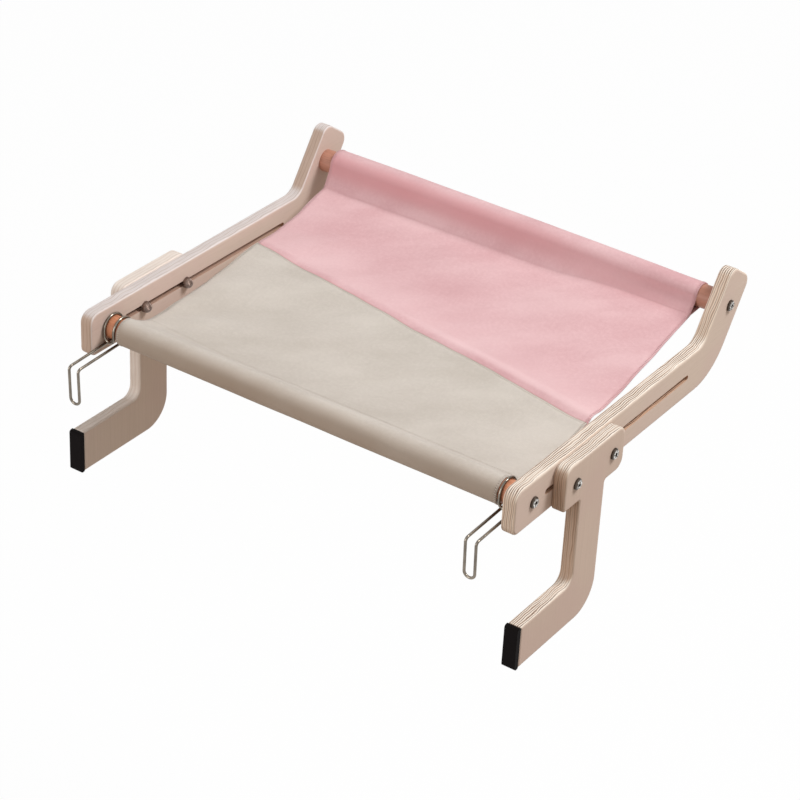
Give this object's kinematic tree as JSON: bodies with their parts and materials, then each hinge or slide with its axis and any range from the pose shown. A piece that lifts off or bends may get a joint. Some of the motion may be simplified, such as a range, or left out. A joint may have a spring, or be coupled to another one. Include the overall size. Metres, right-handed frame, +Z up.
{
  "type": "window mounted cat perch",
  "caption": "Cat perch for a window sill: canvas sling on dowels between slotted plywood sides, with sliding wall legs and swinging wire hooks.",
  "frame": {"origin": "middle of the front dowel's axis, the line on which both hooks turn and hang from the sill", "axes": "X along the dowels, +Y away from the window and the wall, +Z up"},
  "size_m": [0.5624, 0.4695, 0.2588],
  "materials": {
    "plywood": "whitewashed plywood with its plies showing on the edges",
    "dowel_wood": "orange-brown stained round wood, satin",
    "beige_canvas": "heavy beige canvas, plain weave",
    "pink_canvas": "heavy pink canvas, plain weave",
    "pad_rubber": "black rubber, matt",
    "hook_steel": "bright nickel-plated spring wire",
    "bolt_steel": "zinc-plated steel",
    "nut_steel": "dark domed steel",
    "insert_brass": "plain brass"
  },
  "bodies": {
    "frame": {"left_side_panel": "plywood", "right_side_panel": "plywood", "front_dowel": "dowel_wood", "rear_dowel": "dowel_wood", "front_canvas": "beige_canvas", "rear_canvas": "pink_canvas", "left_front_insert": "insert_brass", "left_front_dowel_bolt": "bolt_steel", "left_rear_insert": "insert_brass", "left_rear_dowel_bolt": "bolt_steel", "right_front_insert": "insert_brass", "right_front_dowel_bolt": "bolt_steel", "right_rear_insert": "insert_brass", "right_rear_dowel_bolt": "bolt_steel"},
    "left_leg": {"left_leg": "plywood", "left_foot_pad": "pad_rubber", "left_leg_front_bolt": "bolt_steel", "left_leg_front_nut": "nut_steel", "left_leg_rear_bolt": "bolt_steel", "left_leg_rear_nut": "nut_steel"},
    "left_hook": {"left_sill_hook": "hook_steel"},
    "right_leg": {"right_leg": "plywood", "right_foot_pad": "pad_rubber", "right_leg_front_bolt": "bolt_steel", "right_leg_front_nut": "nut_steel", "right_leg_rear_bolt": "bolt_steel", "right_leg_rear_nut": "nut_steel"},
    "right_hook": {"right_sill_hook": "hook_steel"}
  },
  "joints": [
    {"name": "left_hook_swing", "type": "hinge", "parent": "frame", "child": "left_hook", "pos_m": [-0.2401, 0, 0], "axis": [1, 0, 0], "range_deg": [-180, 115]},
    {"name": "right_hook_swing", "type": "hinge", "parent": "frame", "child": "right_hook", "pos_m": [0.2401, 0, 0], "axis": [1, 0, 0], "range_deg": [-180, 115]},
    {"name": "left_leg_slide", "type": "slide", "parent": "frame", "child": "left_leg", "axis": [0, 1, 0], "range_m": [-0.025, 0.1665]},
    {"name": "right_leg_slide", "type": "slide", "parent": "frame", "child": "right_leg", "axis": [0, 1, 0], "range_m": [-0.025, 0.1665]}
  ]
}
